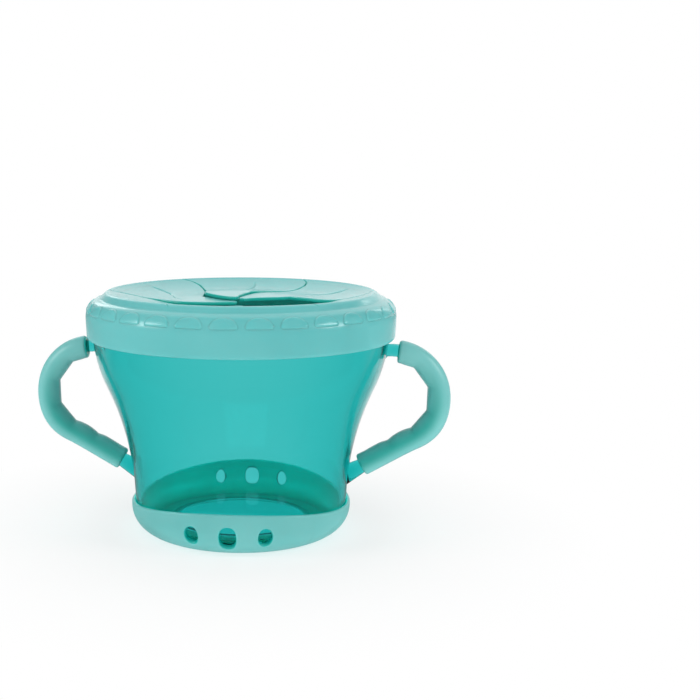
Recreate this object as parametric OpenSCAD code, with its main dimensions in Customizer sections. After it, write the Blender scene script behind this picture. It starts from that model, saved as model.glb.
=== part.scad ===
// Toddler's snack container: a two-handled bowl with a soft boot, soft grips
// and a soft lid whose six flaps let a hand in and keep the snacks from spilling.
// Millimetres, +Z up, +X through the right handle, origin under the middle of the base.

/* [Bowl] */
// Outside radius of the bowl at its foot
foot_r = 38.6; // [34:0.2:46]
// Outside radius of the bowl at its rim
rim_r = 53.3; // [47:0.1:62]
// Height of the bowl's rim above the table
rim_z = 79; // [66:0.5:95]
// Upright band under the rim, which the lid covers
rim_band = 4; // [2:0.5:8]
// Height at which the wall's curve turns from hollow to full
flare_turn_z = 53.5; // [44:0.5:58]
// Thickness of the bowl's wall
bowl_wall = 1.8; // [1.4:0.1:2.4]
// Thickness of the bowl's floor
bowl_floor = 2.3; // [1.6:0.1:3]
// Depth of the round boss under the floor
boss_depth = 0.9; // [0.4:0.1:1.4]
// Radius of the moulding nub under the boss
nub_r = 2.2; // [1:0.1:4]
// Height of the moulding nub
nub_h = 0.4; // [0.2:0.1:0.6]

/* [Boot] */
// Thickness of the soft boot round the bowl's foot
boot_wall = 1.4; // [1:0.1:2.5]
// Thickness of the boot's sole
boot_sole = 2.2; // [1.6:0.1:3]
// Height of the rounded corner between sole and side
foot_corner = 9.5; // [7:0.5:12]
// Height of the boot's top edge at front and back
boot_front_z = 16; // [14:0.5:22]
// Height of the boot's top edge under the handles
boot_side_z = 12; // [11:0.5:13.5]
// Radius of the round hole in the sole
sole_hole_r = 23.5; // [15:0.5:28]
// Height of the middle of the windows
window_z = 7.4; // [7.2:0.1:9]
// Width and height of the middle window
window_mid = [5.8, 7.9];
// Width and height of the windows beside it
window_side = [5, 6.3];
// Angle between neighbouring windows
window_pitch = 17.8; // [12:0.1:25]

/* [Handles] */
// Radius of the handle's core rod
core_r = 2.3; // [1.8:0.1:3]
// Amount by which the straight upper rod is thinner in radius than the bend
rod_step = 0.05; // [0.04:0.01:0.2]
// Radius of the core rod where its lower end joins the wall
root_r = 3.6; // [2.4:0.1:4]
// Length of the taper at the lower root
root_len = 9; // [4:0.5:12]
// Distance from the rim down to the middle of the upper rod
handle_drop = 12.5; // [11.5:0.5:16]
// Distance from the rim's face out to the middle of the handle's bend
bend_out = 1.2; // [-1:0.1:6]
// Height at which the lower leg's middle line reaches the foot
root_z = 20.7; // [19:0.1:26]
// Slope of the handle's lower leg
leg_slope = 30; // [20:1:40]
// Size of the web under the upper rod, along the rod and down from it
web_size = [8, 9.3];
// Thickness of that web
web_wall = 2; // [1:0.1:3]

/* [Grips] */
// Radius of a grip's body
grip_r = 4.1; // [3.6:0.1:5]
// Distance that a grip's middle line lies inside the core's middle line
grip_inset = 0.3; // [0:0.1:0.6]
// Angle round the bend at which a grip's upper end stands
grip_top = 83; // [70:1:88]
// Bare length of the lower leg, between the grip and the foot's radius
bare_leg = 6.3; // [5:0.1:12]
// Depth of the finger hollows
hollow_depth = 0.6; // [0.3:0.1:0.9]
// Radius of the finger hollows
hollow_r = 5; // [4:0.5:8]
// Angle round the bend of the uppermost finger hollow
hollow_top = 55; // [45:1:60]
// Angle between neighbouring finger hollows
hollow_pitch = 37.7; // [30:0.1:38]

/* [Lid] */
// Thickness of the lid's skirt
skirt_wall = 1.4; // [1:0.1:2.5]
// Distance that the skirt reaches down below the bowl's rim
skirt_drop = 8; // [6:0.5:9.5]
// Amount by which the skirt narrows towards its lower edge
skirt_taper = 0.4; // [0:0.1:0.8]
// Width of the bevel round the skirt's lower edge
lip_bevel = 0.7; // [0.3:0.1:0.9]
// Radius of the lid's shoulder
shoulder_r = 4.8; // [4:0.1:6]
// Radius of the round bead on top of the lid
bead_r = 2; // [1.5:0.1:2.5]
// Distance from the skirt's face in to the middle of that bead
bead_inset = 6.7; // [6:0.1:8]
// Height of the bead's middle above the bowl's rim
bead_rise = 6.6; // [6:0.1:8]
// Thickness of the sunken top and of its flaps
top_wall = 1.6; // [1.2:0.1:2]
// Thickness of the ring that hangs inside the bowl's rim
plug_wall = 1.5; // [1:0.1:2.5]
// Depth of that ring below the bowl's rim
plug_drop = 3; // [1:0.5:4]
// Height above the rim at which the inside starts to slope in under the bead
plug_rise = 2; // [1:0.5:3]
// Distance that this slope stops outside the bead's inner face
bead_under = 0.5; // [0.2:0.1:1.5]
// Number of half-round pads round the shoulder
pads = 30; // [12:2:36]
// Gap between pads
pad_gap = 0.72; // [0.4:0.02:3]
// Height of the pads above the shoulder
pad_rise = 0.4; // [0.2:0.1:0.8]

/* [Flaps] */
// Distance from the bead's inner face in to the corners of the flaps
corner_in = 0.3; // [0.2:0.1:4]
// Angle by which the flaps slope down to the middle
flap_droop = 2.8; // [0:0.1:4]
// Width of the slits between the flaps
slit_w = 0.4; // [0.3:0.05:0.8]
// Sideways swing of each slit
slit_sway = 8.4; // [4:0.1:9]
// Distances from the middle between which the slit swings
slit_span = [4, 31];
// Radius of the small hole at the middle
centre_r = 1.6; // [1:0.1:3]
// Radius of the round end of each slit
slit_end_r = 1.4; // [1.3:0.1:2]
// Radius of the root bead that each flap turns on
root_bead_r = 0.75; // [0.6:0.05:0.8]

/* [Clearances] */
// Gap between a soft moulding and the hard part that it is moulded on
mould_gap = 0.05; // [0.02:0.01:0.1]
// Gap between the bowl's rim and the lid's skirt
skirt_gap = 0.3; // [0.25:0.05:0.5]
// Gap between the bowl's rim and the ring inside it
plug_gap = 0.4; // [0.3:0.05:0.6]
// Gap between the top of the rim and the lid
seat_gap = 0.1; // [0.05:0.05:0.2]
// Gap between a flap's root and the groove that it turns in
root_gap = 0.2; // [0.2:0.05:0.4]

/* [Hidden] */
$fn = 96;
FINE = 360;
FLAPS = 6;
HARD = [0.05, 0.68, 0.66, 0.75];
SOFT = [0.47, 0.76, 0.76];
over = 1;

// The wall is two tangent arcs, upright at the foot and again under the rim.
boot_r = foot_r + boot_wall;
floor_z = boot_sole + bowl_floor;
flare_top_z = rim_z - rim_band;
flare_angle = 2 * atan((rim_r - foot_r) / (flare_top_z - foot_corner));
hollow_arc_r = (flare_turn_z - foot_corner) / sin(flare_angle);
full_arc_r = (flare_top_z - flare_turn_z) / sin(flare_angle);
turn_r = foot_r + hollow_arc_r * (1 - cos(flare_angle));

// The boot's edge is cut by a cylinder that lies front to back.
saddle_drop = boot_front_z - boot_side_z;
saddle_r = (boot_r * boot_r + saddle_drop * saddle_drop) / (2 * saddle_drop);

// The bend's radius follows from where the rod starts and where the leg has to end.
bend_x = rim_r + bend_out;
rod_z = rim_z - handle_drop;
bend_r = (rod_z - root_z - (bend_x - foot_r) * tan(leg_slope)) / (1 + 1 / cos(leg_slope));
bend_z = rod_z - bend_r;
bend_low = leg_slope - 90;
leg_x = bend_x + bend_r * cos(bend_low);
leg_len = (leg_x - foot_r) / cos(leg_slope);
root_end = root_r * tan(leg_slope);
grip_leg = leg_len - bare_leg;
hollow_in = bend_r - grip_inset - grip_r + hollow_depth - hollow_r;
leg_hollow = (bend_r - grip_r) * (4 * hollow_pitch - hollow_top + bend_low) * PI / 180;

lid_r = rim_r + skirt_gap + skirt_wall;
ceiling_z = rim_z + seat_gap;
skirt_low_z = rim_z - skirt_drop;
shoulder_x = lid_r - shoulder_r;
pad_r = PI * shoulder_x / pads - pad_gap / 2;
bead_x = lid_r - bead_inset;
bead_z = rim_z + bead_rise;
plug_r = rim_r - bowl_wall - plug_gap;

// The six flaps fill a hexagon, whose sides are their bending lines.
half_flap = 180 / FLAPS;
corner_r = bead_x - bead_r - corner_in;
hinge_r = corner_r * cos(half_flap);
hinge_z = bead_z;
groove_r = top_wall / 2 + root_gap;

// Region inside the bowl's wall, its face moved in by inset
module wall_region(inset, top) {
    a = flare_angle;
    joint = [turn_r - inset * cos(a), flare_turn_z + inset * sin(a)];
    difference() {
        translate([0, foot_corner]) square([joint.x, joint.y - foot_corner]);
        translate([foot_r + hollow_arc_r, foot_corner]) circle(hollow_arc_r + inset, $fn = FINE);
    }
    intersection() {
        translate([0, joint.y]) square([rim_r - inset, flare_top_z - joint.y]);
        translate([rim_r - full_arc_r, flare_top_z]) circle(full_arc_r - inset, $fn = FINE);
    }
    translate([0, flare_top_z]) square([rim_r - inset, top - flare_top_z]);
}

// Region of a round-cornered foot of radius r, whose floor is at height z
module foot_region(r, z) {
    c = foot_corner - z;
    translate([0, z]) square([r - c, c]);
    intersection() {
        translate([r - c, foot_corner]) circle(c);
        translate([r - c, z]) square([c, c]);
    }
}

module bowl_region(grow, top) {
    wall_region(-grow, top);
    foot_region(foot_r + grow, boot_sole - grow);
}

module cavity_region(top) {
    wall_region(bowl_wall, top);
    foot_region(foot_r - bowl_wall, floor_z);
}

module bowl_shell() rotate_extrude() {
    lip_r = bowl_wall / 2;
    difference() {
        bowl_region(0, rim_z - lip_r);
        cavity_region(rim_z);
    }
    translate([rim_r - lip_r, rim_z - lip_r]) circle(lip_r);
    translate([0, boot_sole - boss_depth]) square([sole_hole_r - mould_gap, boss_depth + over]);
    translate([0, boot_sole - boss_depth - nub_h]) square([nub_r, nub_h + over]);
}

// Places its children at the middle of the bend, turned so that the lower leg starts on their +X
module at_bend() translate([bend_x, 0, bend_z]) rotate([90, 0, 0]) rotate([0, 0, bend_low]) children();

// Places its children at the top of the lower leg, pointing down along it
module along_leg(bend) at_bend() translate([bend, 0, 0]) rotate([90, 0, 0]) children();

// Round bar along the handle: from angle a_top round the bend, then leg mm down the leg
module handle_bar(bend, r, a_top, leg) {
    at_bend() rotate_extrude(angle = a_top - bend_low) translate([bend, 0]) circle(r, $fn = 48);
    along_leg(bend) cylinder(r = r, h = leg, $fn = 48);
}

// Taper that the lower leg ends in, grown by grow
module root_taper(grow) along_leg(bend_r) translate([0, 0, leg_len - root_len])
    cylinder(r1 = core_r + grow, r2 = root_r + grow, h = root_len + root_end, $fn = 48);

module handle_core() {
    rod_from = bend_x - web_size.x;
    difference() {
        union() {
            handle_bar(bend_r, core_r, 90, leg_len + root_end);
            translate([bend_x + over, 0, rod_z]) rotate([0, -90, 0])
                cylinder(r = core_r - rod_step, h = bend_x + over - rod_from, $fn = 48);
            root_taper(0);
            rotate([90, 0, 0]) linear_extrude(web_wall, center = true)
                polygon([[rod_from, rod_z], [bend_x, rod_z], [rod_from, rod_z - web_size.y]]);
        }
        rotate_extrude() wall_region(bowl_wall / 2, rim_z);
    }
}

module bowl() color(HARD) {
    bowl_shell();
    handle_core();
    mirror([1, 0, 0]) handle_core();
}

module oval(size) {
    half = (size.y - size.x) / 2;
    square([size.x, 2 * half], center = true);
    for (s = [-1, 1]) translate([0, s * half]) circle(size.x / 2);
}

module window(angle, size) {
    rotate([0, 0, angle]) translate([0, -boot_r, window_z]) rotate([90, 0, 0])
        linear_extrude(2 * (foot_corner - boot_wall), center = true) oval(size);
}

module base_boot() color(SOFT) difference() {
    intersection() {
        rotate_extrude() difference() {
            union() {
                foot_region(boot_r, 0);
                translate([0, foot_corner]) square([boot_r, boot_front_z + over - foot_corner]);
            }
            bowl_region(mould_gap, rim_z);
            square([sole_hole_r, foot_corner]);
        }
        translate([0, 0, boot_front_z - saddle_r]) rotate([90, 0, 0])
            cylinder(r = saddle_r, h = 3 * boot_r, center = true, $fn = FINE);
    }
    for (half_turn = [0, 180]) {
        window(half_turn, window_mid);
        for (s = [-1, 1]) window(half_turn + s * window_pitch, window_side);
    }
}

module finger_hollow() rotate([90, 0, 0]) cylinder(r = hollow_r, h = 4 * grip_r, center = true);

module grip() color(SOFT) difference() {
    handle_bar(bend_r - grip_inset, grip_r, grip_top, grip_leg);
    handle_bar(bend_r, core_r + mould_gap, 90, grip_leg + over);
    root_taper(mould_gap);
    for (k = [0 : 2]) {
        a = hollow_top - k * hollow_pitch;
        translate([bend_x + hollow_in * cos(a), 0, bend_z + hollow_in * sin(a)]) finger_hollow();
    }
    along_leg(bend_r - grip_inset)
        translate([hollow_depth - hollow_r - grip_r, 0, leg_hollow]) finger_hollow();
}

module lid_outside() {
    low_r = lid_r - skirt_taper;
    polygon([[0, skirt_low_z], [low_r - lip_bevel, skirt_low_z], [low_r, skirt_low_z + lip_bevel],
             [lid_r, rim_z], [0, rim_z]]);
    shoulder_region(0);
    translate([bead_x, bead_z]) circle(bead_r);
    translate([0, rim_z]) square([bead_x, bead_rise + top_wall / 2]);
}

// Quarter-round shoulder, grown by grow
module shoulder_region(grow) intersection() {
    translate([shoulder_x, rim_z]) circle(shoulder_r + grow);
    translate([0, rim_z]) square([lid_r + grow, shoulder_r + grow]);
}

module lid_inside() {
    plug_in = plug_r - plug_wall;
    roof_z = hinge_z - top_wall / 2;
    translate([0, skirt_low_z - over]) square([rim_r + skirt_gap, skirt_drop - plug_drop + over]);
    translate([plug_r, rim_z - plug_drop - over])
        square([rim_r + skirt_gap - plug_r, ceiling_z - rim_z + plug_drop + over]);
    polygon([[0, rim_z - plug_drop - over], [plug_in, rim_z - plug_drop - over],
             [plug_in, rim_z + plug_rise],
             [bead_x - bead_r + bead_under, roof_z], [0, roof_z]]);
}

module pad_row() intersection() {
    rotate_extrude() difference() {
        shoulder_region(pad_rise);
        shoulder_region(-pad_rise);
    }
    for (k = [0 : pads - 1]) rotate([0, 0, k * 360 / pads]) translate([0, -shoulder_x, rim_z])
        rotate([90, 0, 0]) linear_extrude(2 * shoulder_r) intersection() {
            circle(pad_r);
            translate([-pad_r, 0]) square([2 * pad_r, pad_r]);
        }
}

module lid() color(SOFT) {
    difference() {
        rotate_extrude() difference() {
            lid_outside();
            lid_inside();
        }
        translate([0, 0, ceiling_z]) cylinder(r = corner_r, h = 2 * bead_rise, $fn = FLAPS);
        for (k = [0 : FLAPS - 1]) rotate([0, 0, k * 360 / FLAPS]) {
            rotate([0, 0, half_flap]) translate([hinge_r, 0, hinge_z]) rotate([90, 0, 0])
                cylinder(r = groove_r, h = corner_r, center = true);
            translate([corner_r, 0, ceiling_z]) cylinder(r = slit_end_r, h = 2 * bead_rise);
        }
    }
    pad_row();
}

// Sideways place of a slit's middle line at distance x from the middle, and its slope there
function sway_turn(x) = 180 * (x - slit_span[0]) / (slit_span[1] - slit_span[0]);
function in_span(x) = x > slit_span[0] && x < slit_span[1];
function sway(x) = in_span(x) ? slit_sway * pow(sin(sway_turn(x)), 2) : 0;
function sway_slope(x) =
    in_span(x) ? slit_sway * sin(2 * sway_turn(x)) * PI / (slit_span[1] - slit_span[0]) : 0;

// Point on the slit's edge, on its left (side 1) or right (side -1) seen from the middle
function slit_edge(x, side) =
    let (m = sway_slope(x), n = [-m, 1] / sqrt(1 + m * m)) [x, sway(x)] + side * slit_w / 2 * n;
function turned(p, a) = [p.x * cos(a) - p.y * sin(a), p.x * sin(a) + p.y * cos(a)];

module flap_outline() {
    steps = 24;
    first = [for (k = [0 : steps]) turned(slit_edge(corner_r * (1 - k / steps), 1), -half_flap)];
    last = [for (k = [0 : steps]) turned(slit_edge(corner_r * k / steps, -1), half_flap)];
    difference() {
        polygon(concat(first, last));
        circle(centre_r);
        for (s = [-1, 1]) rotate(s * half_flap) translate([corner_r, 0]) circle(slit_end_r);
    }
}

module flap(i) color(SOFT) rotate([0, 0, (2 * i - 1) * half_flap])
    translate([hinge_r, 0, hinge_z]) rotate([0, -flap_droop, 0]) {
        translate([-hinge_r, 0, -top_wall / 2]) linear_extrude(top_wall) flap_outline();
        rotate([90, 0, 0])
            cylinder(r = root_bead_r, h = corner_r - 2 * (slit_end_r + root_bead_r), center = true);
    }

bowl();
base_boot();
mirror([1, 0, 0]) grip();  // grip_left
grip();  // grip_right
lid();
flap(1);  // flap_1
flap(2);  // flap_2
flap(3);  // flap_3
flap(4);  // flap_4
flap(5);  // flap_5
flap(6);  // flap_6
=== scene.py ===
import math

import bpy
import numpy as np
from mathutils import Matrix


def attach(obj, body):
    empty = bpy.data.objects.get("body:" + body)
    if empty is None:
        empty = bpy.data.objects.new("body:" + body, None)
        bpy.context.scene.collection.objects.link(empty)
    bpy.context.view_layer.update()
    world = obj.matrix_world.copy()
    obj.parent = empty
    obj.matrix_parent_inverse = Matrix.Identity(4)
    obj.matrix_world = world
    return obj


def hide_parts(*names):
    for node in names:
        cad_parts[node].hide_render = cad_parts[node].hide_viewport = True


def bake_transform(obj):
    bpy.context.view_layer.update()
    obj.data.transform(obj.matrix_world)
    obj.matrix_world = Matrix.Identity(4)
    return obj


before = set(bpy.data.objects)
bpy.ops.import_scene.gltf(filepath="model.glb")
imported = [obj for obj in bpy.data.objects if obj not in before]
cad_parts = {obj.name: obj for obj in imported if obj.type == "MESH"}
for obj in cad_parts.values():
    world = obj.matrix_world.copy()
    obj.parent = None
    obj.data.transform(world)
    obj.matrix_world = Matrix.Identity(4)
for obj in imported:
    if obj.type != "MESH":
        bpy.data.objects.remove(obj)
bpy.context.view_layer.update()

# ---------------------------------------------------------------- camera
# The camera stands a little above the lid and slightly to the right of the front, and its long
# lens keeps the ellipses of the lid and the foot shallow.
MM = 0.001
camera_spot = (44.2 * MM, -427.7 * MM, 134.0 * MM)
camera_tilt = 9.03
camera_turn = 5.9
camera_shift = 0.1557
camera_lens = 61.87

camera_data = bpy.data.cameras.new("camera")
camera_data.lens = camera_lens
camera_data.sensor_width = 36
camera_data.shift_x = camera_shift
camera_data.clip_start = 0.01
camera = bpy.data.objects.new("camera", camera_data)
camera.location = camera_spot
camera.rotation_euler = (math.radians(90 - camera_tilt), 0, math.radians(camera_turn))
bpy.context.scene.collection.objects.link(camera)
bpy.context.scene.camera = camera

# ---------------------------------------------------------------- bowl
# The bowl, its two handle rods and their webs are one hard moulding of clear plastic,
# tinted teal, with polished faces. Everything else is fixed on it.


def linear(red, green, blue):
    """Linear colour of an sRGB colour given in 0 to 255."""
    return tuple(c / 12.92 if c <= 0.04045 else ((c + 0.055) / 1.055) ** 2.4
                 for c in (red / 255, green / 255, blue / 255)) + (1.0,)


def new_material(name):
    """Material with an output and a Principled BSDF."""
    material = bpy.data.materials.new(name)
    material.use_nodes = True
    tree = material.node_tree
    tree.nodes.clear()
    output = tree.nodes.new("ShaderNodeOutputMaterial")
    shader = tree.nodes.new("ShaderNodeBsdfPrincipled")
    tree.links.new(shader.outputs["BSDF"], output.inputs["Surface"])
    return material, tree, shader


face_tint, polish, bend_of_light = (0.97, 0.99, 0.99, 1), 0.03, 1.27
stain_tint, stain_density = (0.23, 0.91, 0.905, 1), 900
wave_scale, wave_strength, wave_depth = 55.0, 0.35, 0.4 * MM

tinted, tree, shader = new_material("tinted_clear_plastic")
shader.inputs["Base Color"].default_value = face_tint
shader.inputs["Roughness"].default_value = polish
shader.inputs["IOR"].default_value = bend_of_light
shader.inputs["Transmission Weight"].default_value = 1.0
# A slight waviness of the moulded faces bends what is seen through them.
place = tree.nodes.new("ShaderNodeTexCoord")
flow = tree.nodes.new("ShaderNodeTexNoise")
flow.inputs["Scale"].default_value = wave_scale
flow.inputs["Detail"].default_value = 1.0
wave = tree.nodes.new("ShaderNodeBump")
wave.inputs["Strength"].default_value = wave_strength
wave.inputs["Distance"].default_value = wave_depth
tree.links.new(place.outputs["Object"], flow.inputs["Vector"])
tree.links.new(flow.outputs["Fac"], wave.inputs["Height"])
tree.links.new(wave.outputs["Normal"], shader.inputs["Normal"])
# Lamps reach what stands behind the plastic.
clear = tree.nodes.new("ShaderNodeBsdfTransparent")
path = tree.nodes.new("ShaderNodeLightPath")
lamps_pass = tree.nodes.new("ShaderNodeMixShader")
tree.links.new(path.outputs["Is Shadow Ray"], lamps_pass.inputs["Fac"])
tree.links.new(shader.outputs["BSDF"], lamps_pass.inputs[1])
tree.links.new(clear.outputs["BSDF"], lamps_pass.inputs[2])
tree.links.new(lamps_pass.outputs["Shader"], tree.nodes["Material Output"].inputs["Surface"])
# The colour lies in the depth of the plastic, so that thick places are darker.
stain = tree.nodes.new("ShaderNodeVolumeAbsorption")
stain.inputs["Color"].default_value = stain_tint
stain.inputs["Density"].default_value = stain_density
tree.links.new(stain.outputs["Volume"], tree.nodes["Material Output"].inputs["Volume"])

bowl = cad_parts["bowl"]
bowl.data.materials.clear()
bowl.data.materials.append(tinted)

# ---------------------------------------------------------------- boot
# The boot is a soft cup moulded round the bowl's foot from a satin, slightly translucent elastomer.
# It has a round hole in its sole, a top edge that dips under the handles, and three oval windows
# at the front and three at the back.


def mesh_piece(name, points, faces, material, body,
               replaced=(), sharp=(), rod_and_painted_light=None, edge=None):
    """Smooth-shaded piece from points in millimetres, riding on a body.

    sharp lists edges that stay hard; the last two give each point's share of two other tints,
    which carry painted light and shade, and on the grips also the rod seen through the sleeve."""
    mesh = bpy.data.meshes.new(name)
    mesh.from_pydata([tuple(p * MM for p in point) for point in points], [], faces)
    mesh.validate()
    mesh.polygons.foreach_set("use_smooth", [True] * len(mesh.polygons))
    hard = {frozenset(pair) for pair in sharp}
    if hard:
        for line in mesh.edges:
            if frozenset(line.vertices) in hard:
                line.use_edge_sharp = True
    for label, values in (("rod_and_painted_light", rod_and_painted_light), ("edge", edge)):
        if values is not None:
            mesh.attributes.new(label, "FLOAT", "POINT").data.foreach_set("value", values)
    mesh.materials.append(material)
    piece = bpy.data.objects.new(name, mesh)
    bpy.context.scene.collection.objects.link(piece)
    if body:
        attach(piece, body)
    if replaced:
        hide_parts(*replaced)
    return piece


def loop_pairs(count):
    """Each index round a closed loop, with the one after it."""
    return [(k, (k + 1) % count) for k in range(count)]


def loft_faces(rows, columns, close_rows, close_columns):
    """Quads of a grid of rows by columns of points, closed along either way."""
    faces = []
    for row in range(rows if close_rows else rows - 1):
        after = (row + 1) % rows
        for column in range(columns if close_columns else columns - 1):
            beside = (column + 1) % columns
            faces.append((row * columns + column, row * columns + beside,
                          after * columns + beside, after * columns + column))
    return faces


def edge_fall(distance, radius):
    """How far a rounded edge of one radius has fallen away at a distance from the edge."""
    inside = np.clip(radius - distance, 0, radius)
    return radius - np.sqrt(radius ** 2 - inside ** 2)


cloud_range = (0.3, 0.7)


def make_skin_group():
    """Shader group of cloudy unevenness and a fine spark-eroded grain, from Object coordinates."""
    group = bpy.data.node_groups.new("moulded_skin", "ShaderNodeTree")
    for label, value in (("Cloud Scale", 45.0), ("Grain Scale", 2600.0)):
        socket = group.interface.new_socket(label, in_out="INPUT", socket_type="NodeSocketFloat")
        socket.default_value = value
    for label in ("Cloud", "Grain"):
        group.interface.new_socket(label, in_out="OUTPUT", socket_type="NodeSocketFloat")
    inputs = group.nodes.new("NodeGroupInput")
    outputs = group.nodes.new("NodeGroupOutput")
    place = group.nodes.new("ShaderNodeTexCoord")
    for label, detail in (("Cloud", 3.0), ("Grain", 2.0)):
        noise = group.nodes.new("ShaderNodeTexNoise")
        noise.inputs["Detail"].default_value = detail
        group.links.new(place.outputs["Object"], noise.inputs["Vector"])
        group.links.new(inputs.outputs[label + " Scale"], noise.inputs["Scale"])
        spread = group.nodes.new("ShaderNodeMapRange")
        for end, value in zip(("From Min", "From Max"), cloud_range):
            spread.inputs[end].default_value = value
        group.links.new(noise.outputs["Fac"], spread.inputs["Value"])
        group.links.new(spread.outputs["Result"], outputs.inputs[label])
    return group


skin_group = make_skin_group()
grain_strength, grain_depth = 0.2, 0.02 * MM
glow_reach, glow_scale = (0.5, 1.0, 1.0), 2 * MM


def soft_material(name, pale, dark, rod_and_painted_light_tint, edge_tint, rough=(0.3, 0.42), glow=0.6):
    """Translucent satin elastomer of two close tints, with another tint where the first of the
    mesh's two share attributes is 1 and a third where the second is 1. These two carry painted
    light and shade, and on the grips also the rod seen through the sleeve."""
    material, tree, shader = new_material(name)
    skin = tree.nodes.new("ShaderNodeGroup")
    skin.node_tree = skin_group
    tint = tree.nodes.new("ShaderNodeMix")
    tint.data_type = "RGBA"
    tint.inputs["A"].default_value = dark
    tint.inputs["B"].default_value = pale
    tree.links.new(skin.outputs["Cloud"], tint.inputs["Factor"])
    for label, other in (("rod_and_painted_light", rod_and_painted_light_tint), ("edge", edge_tint)):
        share = tree.nodes.new("ShaderNodeAttribute")
        share.attribute_name = label
        blend = tree.nodes.new("ShaderNodeMix")
        blend.data_type = "RGBA"
        blend.inputs["B"].default_value = other
        tree.links.new(share.outputs["Fac"], blend.inputs["Factor"])
        tree.links.new(tint.outputs["Result"], blend.inputs["A"])
        tint = blend
    tree.links.new(tint.outputs["Result"], shader.inputs["Base Color"])
    satin = tree.nodes.new("ShaderNodeMapRange")
    satin.inputs["To Min"].default_value, satin.inputs["To Max"].default_value = rough
    tree.links.new(skin.outputs["Cloud"], satin.inputs["Value"])
    tree.links.new(satin.outputs["Result"], shader.inputs["Roughness"])
    grain = tree.nodes.new("ShaderNodeBump")
    grain.inputs["Strength"].default_value = grain_strength
    grain.inputs["Distance"].default_value = grain_depth
    tree.links.new(skin.outputs["Grain"], grain.inputs["Height"])
    tree.links.new(grain.outputs["Normal"], shader.inputs["Normal"])
    shader.inputs["Subsurface Weight"].default_value = glow
    shader.inputs["Subsurface Radius"].default_value = glow_reach
    shader.inputs["Subsurface Scale"].default_value = glow_scale
    return material


# The inner skin takes a much brighter teal: painted light, standing in for light that comes through
# the thin wall. The rims of the windows and of the sole's hole take a darker teal: painted shade.
boot_skin = soft_material("boot_elastomer", linear(108, 182, 180), linear(101, 177, 175),
                          linear(8, 240, 228), linear(12, 165, 157))
boot_r, boot_corner, sole_hole_r = 40.0, 9.5, 25.5
foot_in_r, foot_in_corner, foot_in_z = 38.65, 7.35, 2.15
boot_front_z, boot_side_z = 15.7, 11.0
boot_turn = math.radians(-0.8)
lip_steps = (0.0, 0.1, 0.3, 0.6)
# The last of these is how near its edge a lip takes the rim tint: painted shade on the boot's rims,
# painted light on the grips' top ends.
lip_round, lip_round_inside, painted_lip_reach = 0.6, 0.8, 0.2
# Each window takes the place of a block of the wall's grid: columns either side and rows of it.
boot_columns, window_half, window_rows = 230, 4, 12
window_low_z, window_top, edge_band = 1.3, 0.82, 0.75
# Windows by their columns from the middle: height, half width, half height and squareness.
window_step = 12
front_ovals = {0: (7.1, 2.95, 4.1, 2.5)}
back_ovals = {0: (8.7, 2.8, 3.8, 2.5)}
for shift in (window_step, -window_step):
    front_ovals[shift] = (7.4, 2.5, 3.25, 2.1)
    back_ovals[shift] = (8.6, 2.1, 3.1, 2.1)
window_blends = (0.4, 0.75)
window_round, window_round_inside = 0.5, 0.3


def column_turn(column):
    """Azimuth of a column of the boot's grid."""
    return 2 * math.pi * (column + 0.5) / boot_columns + boot_turn


def boot_pair(turn, where, value):
    """Outer and inner point of the boot at one azimuth: at a share of its sole, or at a height."""
    if where == "sole":
        share = value
        outer = (sole_hole_r + share * (boot_r - boot_corner - sole_hole_r), 0.0)
        inner = (sole_hole_r + share * (foot_in_r - foot_in_corner - sole_hole_r), foot_in_z)
    elif value < boot_corner:
        angle = math.acos(1 - value / boot_corner)
        outer = (boot_r - boot_corner * (1 - math.sin(angle)), value)
        inner = (foot_in_r - foot_in_corner * (1 - math.sin(angle)),
                 boot_corner - foot_in_corner * math.cos(angle))
    else:
        outer, inner = (boot_r, value), (foot_in_r, value)
    way = np.array((math.cos(turn), math.sin(turn), 0))
    return (way * outer[0] + np.array((0, 0, outer[1])),
            way * inner[0] + np.array((0, 0, inner[1])))


def boot_top(turn):
    """Height of the boot's edge: a cylinder lying front to back cuts it."""
    drop = boot_front_z - boot_side_z
    radius = (boot_r ** 2 + drop ** 2) / (2 * drop)
    return boot_front_z - radius + math.sqrt(radius ** 2 - (boot_r * math.cos(turn)) ** 2)


def window_z(turn, share):
    """Height at a share of the way from the lowest window row to just under the edge."""
    return window_low_z + share * (boot_top(turn) - edge_band - window_low_z)


# Rows of the grid: shares of the sole, angles up the corner, and shares of the wall under the edge.
sole_rows, corner_rows, edge_rows = (0.35, 0.7, 1.0), (7, 14, 21, 27), (0.85, 0.9, 0.95)
boot_rows = [("sole", s / (boot_r - boot_corner - sole_hole_r)) for s in lip_steps]
boot_rows += [("sole", s) for s in sole_rows]
boot_rows += [("side", boot_corner * (1 - math.cos(math.radians(a)))) for a in corner_rows]
boot_rows += [("share", window_top * k / window_rows) for k in range(window_rows + 1)]
first_window_row = len(boot_rows) - window_rows - 1
boot_rows += [("share", s) for s in edge_rows]
boot_rows += [("below", s) for s in lip_steps[::-1]]


def boot_skins(turn, where, value):
    """Outer and inner point of the boot, with the two rounded lips worked in."""
    if where == "sole":
        outer, inner = boot_pair(turn, "sole", value)
        gap = value * (boot_r - boot_corner - sole_hole_r)
    else:
        top = boot_top(turn)
        z = {"side": value, "share": window_z(turn, value), "below": top - value}[where]
        outer, inner = boot_pair(turn, "side", z)
        gap = top - z
    way = (inner - outer) / np.linalg.norm(inner - outer)
    fall = edge_fall(gap, lip_round)
    return outer + way * fall, inner - way * fall * lip_round_inside


def oval_reach(angle, half_w, half_h, power):
    """Distance from the middle of a window to its rim, in one direction."""
    return (abs(math.cos(angle) / half_w) ** power
            + abs(math.sin(angle) / half_h) ** power) ** (-1 / power)


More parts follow.
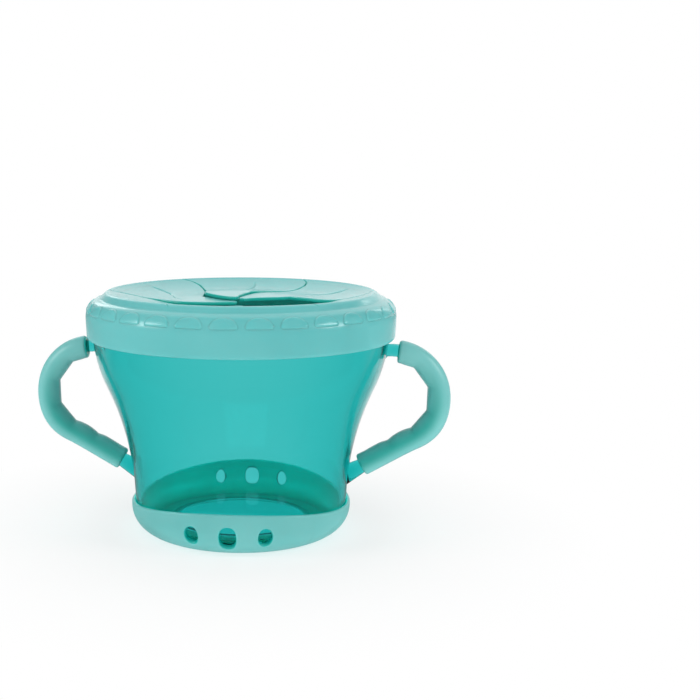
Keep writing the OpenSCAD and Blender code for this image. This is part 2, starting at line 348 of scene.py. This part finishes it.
def build_boot():
    """Two skins of one grid, joined at the sole's hole, at the edge and round each window."""
    turns = [column_turn(k) for k in range(boot_columns)]
    rows, columns = len(boot_rows), boot_columns
    outer, inner = [], []
    for where, value in boot_rows:
        for turn in turns:
            a, b = boot_skins(turn, where, value)
            outer.append(a)
            inner.append(b)
    front, back = (round(columns * share - 0.5) for share in (0.75, 0.25))
    blocks = {front + shift: oval for shift, oval in front_ovals.items()}
    blocks.update({back + shift: oval for shift, oval in back_ovals.items()})
    low, high = first_window_row, first_window_row + window_rows
    cut = {(row, column % columns) for middle in blocks for row in range(low, high)
           for column in range(middle - window_half, middle + window_half)}
    faces = [[], []]

    def add_quad(*quad):
        faces[0].append(quad)
        faces[1].append(quad[::-1])

    for row in range(rows - 1):
        for column in range(columns):
            if (row, column) not in cut:
                beside = (column + 1) % columns
                add_quad(row * columns + column, row * columns + beside,
                         (row + 1) * columns + beside, (row + 1) * columns + column)
    holes, edge_points = [], []
    for middle, (oval_z, half_w, half_h, power) in blocks.items():
        left, right = middle - window_half, middle + window_half
        border = [(low, c) for c in range(left, right)] + [(r, right) for r in range(low, high)]
        border += [(high, c) for c in range(right, left, -1)]
        border += [(r, left) for r in range(high, low, -1)]
        middle_turn = column_turn(middle)
        spots = [((column_turn(c) - middle_turn) * boot_r,
                  window_z(column_turn(c), boot_rows[r][1]) - oval_z) for r, c in border]
        loops = [[row * columns + column % columns for row, column in border]]
        levels = [("mix", share) for share in window_blends]
        levels += [("lip", step) for step in lip_steps[::-1]]
        for kind, value in levels:
            loop = []
            for u, v in spots:
                angle = math.atan2(v, u)
                reach = oval_reach(angle, half_w, half_h, power)
                if kind == "mix":
                    gap = lip_steps[-1]
                    near = reach + gap
                    size = math.hypot(u, v) * (1 - value) + near * value
                else:
                    gap = value
                    size = reach + gap
                turn = middle_turn + size * math.cos(angle) / boot_r
                z = oval_z + size * math.sin(angle)
                a, b = boot_pair(turn, "side", z)
                way = (b - a) / np.linalg.norm(b - a)
                fall = edge_fall(gap, window_round)
                loop.append(len(outer))
                # Points close to a window's edge take painted shade.
                if kind == "lip" and value < painted_lip_reach:
                    edge_points.append(loop[-1])
                outer.append(a + way * fall)
                inner.append(b - way * fall * window_round_inside)
            loops.append(loop)
        for near, far in zip(loops, loops[1:]):
            for k, after in loop_pairs(len(near)):
                add_quad(near[k], near[after], far[after], far[k])
        holes.append(loops[-1])
    count = len(outer)
    result = faces[0] + [tuple(i + count for i in f) for f in faces[1]]
    top = (rows - 1) * columns
    for column, beside in loop_pairs(columns):
        result.append((beside, column, column + count, beside + count))
        result.append((top + column, top + beside, top + beside + count, top + column + count))
    for loop in holes:
        for k, after in loop_pairs(len(loop)):
            result.append((loop[k], loop[after], loop[after] + count, loop[k] + count))
    # The inner skin is painted lighter: painted light.
    rod_and_painted_light = [0.0] * count + [1.0] * count
    # The rims of the windows and of the sole's hole take a darker teal: painted shade.
    edge = [0.0] * (2 * count)
    sole_lip = range((len(lip_steps) - 1) * columns)
    for k in [*edge_points, *sole_lip]:
        edge[k] = edge[k + count] = 1.0
    return mesh_piece("boot", outer + inner, result, boot_skin, "container",
                      ["base_boot"], (), rod_and_painted_light, edge)


build_boot()

# ---------------------------------------------------------------- grips
# Each handle rod carries a soft sleeve of the same kind of elastomer, moulded on it, with finger
# hollows along its inner side. The rod shows through as a darker band, which painted shade deepens
# down the leg; the sleeve's ends and bore are painted lighter: painted light.
# The band tint is the rod seen through the sleeve, with painted shade where the band deepens lower
# down. The rim tint is painted light, which lightens the sleeve's ends and bore.
grip_skin = soft_material("grip_elastomer", linear(118, 189, 187), linear(111, 183, 181),
                          linear(27, 158, 149), linear(30, 225, 212), glow=0.2)
bend_middle = (54.5, 49.5)
grip_bend_r, grip_thick_r, grip_bore_r, grip_inset = 16.7, 4.1, 2.35, 0.3
grip_top_angle, grip_low_angle, grip_leg_len = 83.0, -60.0, 21.9
grip_end_steps, grip_end_round = (0.0, 0.1, 0.3, 0.6, 0.9), 0.9
grip_body_start, grip_body_rows, grip_bore_rows, around = 1.6, 96, 40, 48
# The finger hollows are flats round the bend, one pitch apart, which run on along the leg.
finger_pitch, finger_top, finger_in_r, leg_pitch_r = 37.7, 55.0, 13.2, 14.6
finger_fade, finger_fade_power, finger_width = 4.0, 1.5, 1.2
last_finger_angle, last_finger_share = -107, 0.25
# The outer side swells a little below the middle of the bend.
swell_rise, swell_angle, swell_spread = 0.675, -38, 26
# The rod's dark band: half width and place, its strength at the top, and the painted shade it gains
# below.
rod_width, rod_place, rod_top_share, shade_gain_share = 2.6, 0.9, 0.12, 0.83
# Where down the sleeve that painted shade starts and over what share it grows; the bore's share of
# the band tint.
shade_gain_start, shade_gain_run, bore_share = 0.1, 0.45, 0.6


def grip_frame(s):
    """Middle point, outward direction and angle of the sleeve at distance s from its top."""
    bend_len = math.radians(grip_top_angle - grip_low_angle) * grip_bend_r
    low = math.radians(grip_low_angle)
    middle = np.array((bend_middle[0], 0, bend_middle[1]))
    if s < bend_len:
        angle = math.radians(grip_top_angle) - s / grip_bend_r
        out = np.array((math.cos(angle), 0, math.sin(angle)))
        return middle + out * grip_bend_r, out, math.degrees(angle)
    out = np.array((math.cos(low), 0, math.sin(low)))
    along = np.array((math.sin(low), 0, -math.cos(low)))
    rest = s - bend_len
    start = middle + out * grip_bend_r
    return start + along * rest, out, grip_low_angle - math.degrees(rest / leg_pitch_r)


def finger_depth(angle, end):
    """How far the sleeve's inner side stands out from or in to its round section."""
    share = (angle - finger_top) / finger_pitch
    from_flat = math.radians((share - math.floor(share) - 0.5) * finger_pitch)
    flat = finger_in_r * math.cos(math.radians(finger_pitch / 2)) / math.cos(from_flat)
    fade = min(1, end / finger_fade) ** finger_fade_power
    if angle < last_finger_angle:
        fade *= last_finger_share
    return (grip_bend_r - flat - grip_thick_r) * fade


def build_grip(side, name, node):
    total = math.radians(grip_top_angle - grip_low_angle) * grip_bend_r + grip_leg_len
    steps = list(grip_end_steps)
    steps += list(np.linspace(grip_body_start, total - grip_body_start, grip_body_rows))
    steps += [total - step for step in grip_end_steps[::-1]]
    turns = [2 * math.pi * k / around for k in range(around)]
    rows, rod_and_painted_light, edge = [], [], []
    for s in steps:
        middle, out, angle = grip_frame(s)
        # The top end is painted lighter: painted light.
        edge += [1.0 if s < painted_lip_reach else 0.0] * around
        end = min(s, total - s)
        # Lower down, painted shade deepens the band.
        lower = np.clip((s / total - shade_gain_start) / shade_gain_run, 0, 1)
        finger = finger_depth(angle, end)
        swell = swell_rise * math.exp(-((angle - swell_angle) / swell_spread) ** 2)
        row = []
        for phi in turns:
            inner = max(0, -math.cos(phi))
            outer = max(0, math.cos(phi))
            radius = grip_thick_r + finger * inner ** finger_width + swell * outer ** 2
            radius -= edge_fall(end, grip_end_round)
            row.append(middle + out * radius * math.cos(phi)
                       + np.array((0, radius * math.sin(phi), 0)))
            rod = math.exp(-((radius * math.cos(phi) + rod_place) / rod_width) ** 2)
            rod_and_painted_light.append((rod_top_share + shade_gain_share * lower) * rod)
        rows.append(row)
    for s in [total, *np.linspace(total, 0, grip_bore_rows)[1:-1], 0.0]:
        middle, out, angle = grip_frame(s)
        core = middle + out * grip_inset
        rows.append([core + out * grip_bore_r * math.cos(phi)
                     + np.array((0, grip_bore_r * math.sin(phi), 0)) for phi in turns])
    points = [(side * p[0], p[1], p[2]) for row in rows for p in row]
    faces = loft_faces(len(rows), around, True, True)
    if side > 0:
        faces = [f[::-1] for f in faces]
    rod_and_painted_light += [bore_share] * (len(points) - len(rod_and_painted_light))
    # The bore, and the end faces it closes, are painted lighter: painted light.
    edge += [1.0] * (len(points) - len(edge))
    return mesh_piece(name, points, faces, grip_skin, "container",
                      [node], (), rod_and_painted_light, edge)


build_grip(1, "right_grip", "grip_right")
build_grip(-1, "left_grip", "grip_left")

# ---------------------------------------------------------------- lid
# The lid is one soft moulding of satin elastomer: a skirt that fits over the bowl's rim, a ring
# inside the rim, a rounded shoulder with half-round pads, a raised round crest, and a sunken top
# that curved slits cut into six flaps.
# The deeper teal is painted shade on the lid's inside, in the grooves over the crest, and on the
# flaps' slit sides, creases and undersides.
lid_skin = soft_material("lid_elastomer", linear(106, 188, 188), linear(100, 184, 184),
                         linear(12, 168, 154), linear(12, 168, 154), (0.17, 0.25))
seam_r = 44.0
dish_low_z, dish_rise, dish_r, dish_power = 82.8, 4.6, 47.5, 3.5
flap_thick = 1.2


def dish_z(radius):
    """Height of the sunken top at a radius."""
    return dish_low_z + dish_rise * (radius / dish_r) ** dish_power


def smooth_line(points, rounds):
    """Corner cutting of an open line that keeps its two ends."""
    line = [np.array(p, float) for p in points]
    for _ in range(rounds):
        cut = [line[0]]
        for a, b in zip(line, line[1:]):
            cut += [a * 0.75 + b * 0.25, a * 0.25 + b * 0.75]
        cut.append(line[-1])
        line = cut
    return line


# The lid's section, as radius and height: dish and crest, shoulder, skirt, and back up inside.
lid_line = [(r, dish_z(r)) for r in (seam_r, 44.7, 45.5, 46.3)]
lid_line += [(47.0, 87.38), (47.7, 87.45), (48.5, 87.1), (49.3, 86.35), (50.1, 85.6),
             (50.7, 85.15), (51.3, 84.95), (52.0, 84.65), (53.0, 84.1), (54.0, 83.15),
             (54.8, 81.9), (55.35, 80.6), (55.58, 79.2)]
lid_outer_rows, lid_skirt_rows = len(lid_line), 7
lid_line += [(55.55, 77.5), (55.45, 75.0), (55.35, 73.0), (55.3, 71.9), (55.0, 71.25),
             (54.4, 71.0), (53.75, 71.15), (53.6, 71.6), (53.6, 75.0), (53.6, 78.9),
             (53.5, 79.1), (51.3, 79.1), (51.1, 78.9), (51.1, 76.4), (50.7, 76.05),
             (49.9, 76.05), (49.6, 76.4), (49.6, 81.0), (48.4, 83.2), (46.9, 85.2),
             (45.5, dish_z(45.5) - flap_thick), (seam_r, dish_z(seam_r) - flap_thick)]
# The middle line of one slit, as radius and angle in degrees.
slit_spots = [(0.0, 60.0), (3.0, 52.0), (6.0, 41.0), (9.0, 33.0), (12.0, 28.0), (16.0, 23.0),
              (20.0, 18.5), (24.0, 10.5), (28.0, 4.5), (32.0, 1.2), (36.0, -0.4), (41.0, -0.8),
              (45.0, 1.2), (47.3, 5.0), (50.0, 8.0)]
slit_end_r = slit_spots[-1][0]
radii_fine = np.linspace(0, slit_end_r, 501)


def smooth_table(spots):
    """Values along a line of spots, rounded at the spots, for the radii of radii_fine."""
    table = np.interp(radii_fine, [r for r, value in spots], [value for r, value in spots])
    reach = 15
    kernel = np.hanning(2 * reach + 1)
    kernel /= kernel.sum()
    padded = np.concatenate([np.full(reach, table[0]), table, np.full(reach, table[-1])])
    return np.convolve(padded, kernel, "valid")


slit_table = smooth_table(slit_spots)
# Each slit runs out over the crest as a groove, which fades to nothing on its outer side. The
# groove takes painted shade, full at a given depth.
groove_depth, groove_half, groove_run, groove_full_shade = 0.55, 0.22, 5.3, 0.3
groove_low_z, groove_end_r, crest_in_r = 84.5, 49.6, 46
shoulder_twist, twist_end_r, twist_run = 1.6, 52, 2
# Distances of the fine columns from a slit's middle line, and the number from one slit to the next.
slit_columns, columns_between = (-0.9, -0.5, -0.3, -0.15, 0, 0.15, 0.3, 0.5, 0.9), 42


def build_lid_shell():
    """The lid's section turned round the axis, with finer columns at the six slits."""
    line = smooth_line(lid_line, 2)
    close = [math.degrees(d / seam_r) for d in slit_columns]
    between = np.linspace(close[-1], 60 - close[-1], columns_between)[1:-1]
    columns = [60 * sixth + a for sixth in range(6) for a in [*close, *between]]
    offsets = [abs(a - 60 * round(a / 60)) for a in columns]
    inner_from = len(line) * (lid_outer_rows + lid_skirt_rows) // len(lid_line)
    points, rod_and_painted_light = [], []
    for row, (r, z) in enumerate(line):
        twist = 0
        if z > groove_low_z and r < slit_end_r:
            twist = np.interp(r, radii_fine, slit_table)
        elif z > groove_low_z:
            twist = shoulder_twist * np.clip((twist_end_r - r) / twist_run, 0, 1)
        top_side = z > max(groove_low_z, dish_z(min(r, crest_in_r)) - flap_thick / 2)
        for a, away in zip(columns, offsets):
            groove = 0.0
            if top_side and r < groove_end_r:
                fade = 1 - np.clip((r - seam_r) / groove_run, 0, 1) ** 2
                aside = math.radians(away) * r
                groove = groove_depth * fade * math.exp(-(aside / groove_half) ** 2)
            turn = math.radians(a + twist)
            points.append((r * math.cos(turn), r * math.sin(turn), z - groove))
            # The lid's inside and the grooves take painted shade.
            rod_and_painted_light.append(1.0 if row > inner_from else min(1.0, groove / groove_full_shade))
    rows, count = len(line), len(columns)
    faces = [f[::-1] for f in loft_faces(rows, count, True, True)]
    sharp = [(start + k, start + after) for start in (0, (rows - 1) * count)
             for k, after in loop_pairs(count)]
    return mesh_piece("lid_shell", points, faces, lid_skin, "lid", ["lid"], sharp, rod_and_painted_light)


build_lid_shell()

# Half-round pads stand a little proud all round the shoulder.
pad_count, pad_r, pad_corner, pad_high = 30, 4.9, 0.95, 0.96
pad_rise, pad_run_in, pad_root, pad_low_z = 0.3, 0.8, 0.6, 80.7
pad_centre_share, pad_wrap_r = 0.43, 55.0
pad_rows, pad_inner_rows = (0, 0.25, 0.5, 0.75, 1), (0.66, 0.33)
pad_corner_points, pad_round_points, pad_flat_points = 6, 26, 10
shoulder_top_z, shoulder_step = 87, 0.2
shoulder = np.array([p for p in smooth_line(lid_line[:lid_outer_rows], 2)
                     if p[1] < shoulder_top_z][::-1])
shoulder_run = np.concatenate([[0], np.cumsum(np.linalg.norm(np.diff(shoulder, axis=0), axis=1))])
pad_run = float(np.interp(pad_low_z, shoulder[:, 1], shoulder_run))


def shoulder_spot(run):
    """Point of the lid's outside at a distance up from the pads' flat side, and the way out."""
    place, below, above = (
        np.array([np.interp(pad_run + run + d, shoulder_run, shoulder[:, k]) for k in (0, 1)])
        for d in (0, -shoulder_step, shoulder_step))
    along = (above - below) / np.linalg.norm(above - below)
    return place, np.array((along[1], -along[0]))


def pad_outline():
    """Half disc with its flat side down and rounded corners, as points and inward directions."""
    line = []
    reach = pad_r - pad_corner
    side = math.sqrt(reach ** 2 - pad_corner ** 2)
    tilt = math.degrees(math.atan2(pad_corner, side))
    for centre, radius, angles in (
            ((side, pad_corner), pad_corner, np.linspace(-90, tilt, pad_corner_points)),
            ((0, 0), pad_r, np.linspace(tilt, 180 - tilt, pad_round_points)[1:-1]),
            ((-side, pad_corner), pad_corner, np.linspace(180 - tilt, 270, pad_corner_points))):
        for a in np.radians(angles):
            way = np.array((math.cos(a), math.sin(a)))
            line.append((np.array(centre) + radius * way, -way))
    for x in np.linspace(-side, side, pad_flat_points)[1:-1]:
        line.append((np.array((x, 0.0)), np.array((0.0, 1.0))))
    return line


def wrapped(spot, height):
    """A pad's point, from its place across and up, at a height above the shoulder."""
    base, way = shoulder_spot(spot[1] * pad_high)
    r, z = base + way * height
    turn = -math.pi / 2 + spot[0] / pad_wrap_r
    return r * math.cos(turn), r * math.sin(turn), z


def build_pad():
    """One pad in the middle of the front, closed by a root that reaches into the lid."""
    outline = pad_outline()
    levels = [(0.0, -pad_root)]
    levels += [(pad_run_in * t, pad_rise * math.sin(t * math.pi / 2)) for t in pad_rows]
    middle = np.array((0, pad_centre_share * pad_r))
    points = [wrapped(middle, -pad_root)]
    for inward, height in levels:
        points += [wrapped(spot + way * inward, height) for spot, way in outline]
    for share in pad_inner_rows:
        points += [wrapped(middle + (spot + way * pad_run_in - middle) * share, pad_rise)
                   for spot, way in outline]
    points.append(wrapped(middle, pad_rise))
    count = len(outline)
    faces = [(0, 1 + after, 1 + k) for k, after in loop_pairs(count)]
    for level in range(len(levels) + 1):
        for k, after in loop_pairs(count):
            a, b = 1 + level * count + k, 1 + level * count + after
            faces.append((a, b, b + count, a + count))
    last = len(points) - 1
    faces += [(last - count + k, last - count + after, last) for k, after in loop_pairs(count)]
    return mesh_piece("lid_pads", points, faces, lid_skin, None)


def ring_tree():
    """Geometry node tree that repeats a mesh round the vertical axis; returns it and its inputs."""
    tree = bpy.data.node_groups.new("ring_of_pads", "GeometryNodeTree")
    made = {}
    for label, kind in (("Geometry", "Geometry"), ("Pads", "Int"), ("Finish", "Material")):
        made[label] = tree.interface.new_socket(label, in_out="INPUT",
                                                socket_type="NodeSocket" + kind)
    tree.interface.new_socket("Geometry", in_out="OUTPUT", socket_type="NodeSocketGeometry")
    inputs, outputs = tree.nodes.new("NodeGroupInput"), tree.nodes.new("NodeGroupOutput")
    spots, index = tree.nodes.new("GeometryNodePoints"), tree.nodes.new("GeometryNodeInputIndex")
    share, turn = tree.nodes.new("ShaderNodeMath"), tree.nodes.new("ShaderNodeMath")
    share.operation, turn.operation = "DIVIDE", "MULTIPLY"
    turn.inputs[1].default_value = 2 * math.pi
    aim = tree.nodes.new("ShaderNodeCombineXYZ")
    copies = tree.nodes.new("GeometryNodeInstanceOnPoints")
    real = tree.nodes.new("GeometryNodeRealizeInstances")
    finish = tree.nodes.new("GeometryNodeSetMaterial")
    for start, end in (
            (inputs.outputs["Pads"], spots.inputs["Count"]),
            (index.outputs["Index"], share.inputs[0]),
            (inputs.outputs["Pads"], share.inputs[1]),
            (share.outputs["Value"], turn.inputs[0]),
            (turn.outputs["Value"], aim.inputs["Z"]),
            (spots.outputs[0], copies.inputs["Points"]),
            (inputs.outputs["Geometry"], copies.inputs["Instance"]),
            (aim.outputs["Vector"], copies.inputs["Rotation"]),
            (copies.outputs["Instances"], real.inputs["Geometry"]),
            (real.outputs["Geometry"], finish.inputs["Geometry"]),
            (inputs.outputs["Finish"], finish.inputs["Material"]),
            (finish.outputs["Geometry"], outputs.inputs["Geometry"])):
        tree.links.new(start, end)
    return tree, made


pads = build_pad()
tree, made = ring_tree()
ring = pads.modifiers.new("ring", "NODES")
ring.node_group = tree
ring[made["Pads"].identifier] = pad_count
ring[made["Finish"].identifier] = lid_skin
ready = pads.evaluated_get(bpy.context.evaluated_depsgraph_get())
pad_mesh = bpy.data.meshes.new_from_object(ready)
pads.modifiers.clear()
pads.data = pad_mesh
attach(pads, "lid")

# ---------------------------------------------------------------- flaps
# Six flaps in one moulding with the lid meet at the middle. Each swirls past its neighbour,
# carries a crease beside its slit, and bends along its root.
crease_spots = [(0.0, 90.0), (18.0, 75.0), (22.0, 60.0), (26.0, 45.5), (28.5, 37.5),
                (32.0, 31.0), (36.0, 28.5), (40.0, 28.0), (44.0, 28.6), (50.0, 29.5)]
crease_table = smooth_table(crease_spots)
crease_depth, crease_half = 0.4, 0.4
crease_start_r, crease_start_run, crease_end_r, crease_end_run = 20, 6, 44, 4
# The crease keeps between these shares of the flap's width.
fold_least, fold_most = 0.3, 0.7
tip_r, tip_steps = 2.0, (0.0, 0.15, 0.4)
# How far each flap's tip hangs below the dish, and between which radii it gets there.
flap_drops = [-1.5, -2.2, -0.8, 0.6, 2.4, 2.4]
drop_start_r, drop_run = 37, 19
# The slit is a little wider round one radius, and its flap has a notch there.
slit_half_least, slit_half_more, slit_wide_r, slit_wide_run = 0.16, 0.1, 17, 8
notch_r, notch_deep, notch_half = 18.5, 1.1, 1.6
flap_top_round, flap_low_round = 0.5, 0.25
# Towards the tip, below this width, the columns and the rounding draw together.
full_width, round_share_more = 8, 0.2
# Painted shade in the slits and the crease: its strength on the rounded sides and the fall at which
# it is full, and in the crease.
side_shade, side_shade_fall, crease_shade = 0.9, 0.25, 0.6
# Distances across a flap of its columns at its sides and round its crease, the number of columns
# between, and the rows along its body with how far they keep from the tip and the seam.
flap_side_columns = np.array([0.0, 0.08, 0.2, 0.35, 0.5, 0.9])
flap_crease_columns = np.array([-1.0, -0.65, -0.4, -0.2, 0.0, 0.2, 0.4, 0.65, 1.0])
flap_columns_between, flap_body_rows, flap_body_ends = 7, 62, (1.0, 0.4)


def flap_across(width, fold, squeeze):
    """Distances across a flap of its columns, dense at both sides and at the crease."""
    side = flap_side_columns * squeeze
    middle = fold + flap_crease_columns * squeeze
    far = width - side[::-1]
    fill = flap_columns_between + 2
    return np.concatenate([side, np.linspace(side[-1], middle[0], fill)[1:-1], middle,
                           np.linspace(middle[-1], far[0], fill)[1:-1], far])


def build_flap(i):
    """One flap from its tip out to the seam, as rows of points over its top and back below."""
    drop = flap_drops[i - 1]
    start = math.radians(60 * (i - 1))
    radii = [tip_r + step for step in tip_steps]
    radii += list(np.linspace(tip_r + flap_body_ends[0], seam_r - flap_body_ends[1],
                              flap_body_rows))
    radii.append(seam_r)
    points, rod_and_painted_light = [], []
    for r in radii:
        slit = math.radians(np.interp(r, radii_fine, slit_table)) + start
        slit_half = slit_half_more * math.exp(-((r - slit_wide_r) / slit_wide_run) ** 2)
        slit_half += slit_half_least
        notch = notch_deep * math.exp(-((r - notch_r) / notch_half) ** 2)
        width = r * math.radians(60) - 2 * slit_half - notch
        first = slit + (slit_half + notch) / r
        fold = (start + math.radians(np.interp(r, radii_fine, crease_table)) - first) * r
        fold = min(max(fold, fold_least * width), fold_most * width)
        squeeze = min(1, width / full_width)
        across = flap_across(width, fold, squeeze)
        gap = np.minimum(np.minimum(across, width - across), r - tip_r)
        fall = edge_fall(gap, flap_top_round * min(1, squeeze + round_share_more))
        fade = (np.clip((r - crease_start_r) / crease_start_run, 0, 1)
                * np.clip((crease_end_r - r) / crease_end_run, 0, 1))
        groove = crease_depth * fade * np.exp(-((across - fold) / crease_half) ** 2)
        sunk = float(np.clip((drop_start_r - r) / drop_run, 0, 1))
        lower = drop * sunk ** 2 * (3 - 2 * sunk)
        top = dish_z(r) - lower - fall - groove
        low = dish_z(r) - lower - flap_thick + edge_fall(gap, flap_low_round)
        # The rounded sides along the slits, the crease and the underside take painted shade.
        sides = side_shade * np.clip(fall / side_shade_fall, 0, 1)
        rod_and_painted_light += list(np.clip(sides + crease_shade * groove, 0, 1))
        rod_and_painted_light += [1.0] * len(across)
        turn = first + across / r
        for a, z in [*zip(turn, top), *zip(turn[::-1], low[::-1])]:
            points.append((r * math.cos(a), r * math.sin(a), z))
    half = len(across)
    columns = half * 2
    faces = loft_faces(len(radii), columns, False, True)
    last = (len(radii) - 1) * columns
    sharp = []
    for k in range(half - 1):
        faces.append((k + 1, k, columns - 1 - k, columns - 2 - k))
        faces.append((last + k, last + k + 1, last + columns - 2 - k, last + columns - 1 - k))
        sharp += [(last + k, last + k + 1), (last + columns - 1 - k, last + columns - 2 - k)]
    faces = [f[::-1] for f in faces]
    piece = mesh_piece("flap_%d_soft" % i, points, faces, lid_skin, None,
                       ["flap_%d" % i], sharp, rod_and_painted_light)
    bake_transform(piece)
    return piece


for i in range(1, 7):
    build_flap(i)

# ---------------------------------------------------------------- stage
# A white floor and a white backdrop behind, with the room in front dimmer. Two side lamps and a
# front one light the object softly, and two narrow ones behind put small lights on the lid.
stage_mat = bpy.data.materials.new("stage_white")
stage_mat.use_nodes = True
tree = stage_mat.node_tree
tree.nodes.clear()


def math_node(tree, operation, first, second):
    """Math node of two inputs, each a socket or a number; returns its output."""
    node = tree.nodes.new("ShaderNodeMath")
    node.operation = operation
    for socket, value in zip(node.inputs, (first, second)):
        if isinstance(value, (int, float)):
            socket.default_value = value
        else:
            tree.links.new(value, socket)
    return node.outputs["Value"]


def spread_node(tree, value, low, high, start, end):
    """Map Range node from low..high to start..end; returns its output."""
    node = tree.nodes.new("ShaderNodeMapRange")
    for label, number in (("From Min", low), ("From Max", high),
                          ("To Min", start), ("To Max", end)):
        node.inputs[label].default_value = number
    tree.links.new(value, node.inputs["Value"])
    return node.outputs["Result"]


def ray_strength(tree, path, mirrored, seen_through, bounced):
    """Brightness by kind of ray: 1 seen directly, and the given ones in reflections, through the
    plastic and bounced."""
    total = math_node(tree, "MULTIPLY", path.outputs["Is Glossy Ray"], mirrored)
    total = math_node(tree, "ADD", total,
                      math_node(tree, "MULTIPLY", path.outputs["Is Diffuse Ray"], bounced))
    total = math_node(tree, "ADD", total, path.outputs["Is Camera Ray"])
    opaque = math_node(tree, "SUBTRACT", 1.0, path.outputs["Is Transmission Ray"])
    total = math_node(tree, "MULTIPLY", total, opaque)
    through = math_node(tree, "MULTIPLY", path.outputs["Is Transmission Ray"], seen_through)
    return math_node(tree, "ADD", total, through)


# Through the plastic, the floor and the backdrop both show at this strength.
seen_through = 0.72
floor_half, floor_grey, floor_bounced = 2.0, 0.93, 1.8
# Mirrored, the floor is bright behind the object and dimmer beside and in front of it.
floor_dim, floor_aside, floor_behind = 0.25, (0.15, 0.35), (0.05, 0.15)
# Near the object the floor is partly paper, which takes the object's shadow.
paper_reach, paper_share = (0.05, 0.13), 0.6

stage_out = tree.nodes.new("ShaderNodeOutputMaterial")
paper = tree.nodes.new("ShaderNodeBsdfDiffuse")
paper.inputs["Color"].default_value = (floor_grey, floor_grey, floor_grey, 1)
glare = tree.nodes.new("ShaderNodeEmission")
place = tree.nodes.new("ShaderNodeTexCoord")
reach = tree.nodes.new("ShaderNodeVectorMath")
reach.operation = "LENGTH"
tree.links.new(place.outputs["Object"], reach.inputs[0])
path = tree.nodes.new("ShaderNodeLightPath")
parts = tree.nodes.new("ShaderNodeSeparateXYZ")
tree.links.new(place.outputs["Object"], parts.inputs["Vector"])
aside = math_node(tree, "ABSOLUTE", parts.outputs["X"], 0.0)
behind = math_node(tree, "MULTIPLY", spread_node(tree, aside, *floor_aside, 1.0, floor_dim),
                   spread_node(tree, parts.outputs["Y"], *floor_behind, floor_dim, 1.0))
strength = ray_strength(tree, path, behind, seen_through, floor_bounced)
tree.links.new(strength, glare.inputs["Strength"])
near = spread_node(tree, reach.outputs["Value"], *paper_reach, paper_share, 1.0)
unseen = math_node(tree, "MAXIMUM", path.outputs["Is Diffuse Ray"], path.outputs["Is Glossy Ray"])
mixed = tree.nodes.new("ShaderNodeMixShader")
tree.links.new(math_node(tree, "MAXIMUM", near, unseen), mixed.inputs["Fac"])
tree.links.new(paper.outputs["BSDF"], mixed.inputs[1])
tree.links.new(glare.outputs["Emission"], mixed.inputs[2])
tree.links.new(mixed.outputs["Shader"], stage_out.inputs["Surface"])

floor_mesh = bpy.data.meshes.new("floor")
floor_corners = [(x * floor_half, y * floor_half, 0)
                 for x, y in ((-1, -1), (1, -1), (1, 1), (-1, 1))]
floor_mesh.from_pydata(floor_corners, [], [(0, 1, 2, 3)])
floor_mesh.materials.append(stage_mat)
floor = bpy.data.objects.new("floor", floor_mesh)
bpy.context.scene.collection.objects.link(floor)

# The room mirrors as a white panel behind the object and dim walls.
wall_dim, panel_bright, room_bounced = 0.12, 1.15, 0.74
panel_aside, panel_behind = (0.3, 0.6), (0.1, 0.4)
world = bpy.data.worlds.new("studio")
bpy.context.scene.world = world
world.use_nodes = True
tree = world.node_tree
tree.nodes.clear()
world_out = tree.nodes.new("ShaderNodeOutputWorld")
light = tree.nodes.new("ShaderNodeBackground")
light.inputs["Color"].default_value = (1, 1, 1, 1)
path = tree.nodes.new("ShaderNodeLightPath")
place = tree.nodes.new("ShaderNodeTexCoord")
parts = tree.nodes.new("ShaderNodeSeparateXYZ")
tree.links.new(place.outputs["Generated"], parts.inputs["Vector"])
aside = math_node(tree, "ABSOLUTE", parts.outputs["X"], 0.0)
panel = math_node(tree, "MULTIPLY", spread_node(tree, aside, *panel_aside, 1.0, 0.0),
                  spread_node(tree, parts.outputs["Y"], *panel_behind, 0.0, 1.0))
mirrored = spread_node(tree, panel, 0.0, 1.0, wall_dim, panel_bright)
strength = ray_strength(tree, path, mirrored, seen_through, room_bounced)
tree.links.new(strength, light.inputs["Strength"])
tree.links.new(light.outputs[0], world_out.inputs["Surface"])


def soft_lamp(name, spot, aim_z, size, power, mirrored=True, through=True):
    """Area lamp aimed at a height on the object's axis; it may stay unseen in gloss or through
    the plastic."""
    data = bpy.data.lights.new(name, "AREA")
    data.shape = "RECTANGLE"
    data.size, data.size_y = size
    data.energy = power
    lamp = bpy.data.objects.new(name, data)
    lamp.location = spot
    way = np.array((0, 0, aim_z)) - np.array(spot)
    flat = math.hypot(way[0], way[1])
    lamp.rotation_euler = (math.pi / 2 + math.atan2(way[2], flat), 0, math.atan2(-way[0], way[1]))
    lamp.visible_glossy = mirrored
    lamp.visible_transmission = through
    bpy.context.scene.collection.objects.link(lamp)


soft_lamp("back_left_softbox", (-0.4, 0.75, 0.42), 0.06, (0.05, 0.3), 0.2)
soft_lamp("back_right_softbox", (0.5, 0.75, 0.42), 0.06, (0.05, 0.3), 0.2)
soft_lamp("left_softbox", (-0.75, -0.3, 0.45), 0.05, (0.3, 0.3), 2.2, through=False)
soft_lamp("right_softbox", (0.8, -0.2, 0.45), 0.05, (0.3, 0.3), 2.0, through=False)
soft_lamp("front_fill", (0.0, -0.9, 0.25), 0.05, (0.8, 0.6), 1.9, mirrored=False)

bpy.context.scene.view_settings.view_transform = "Standard"
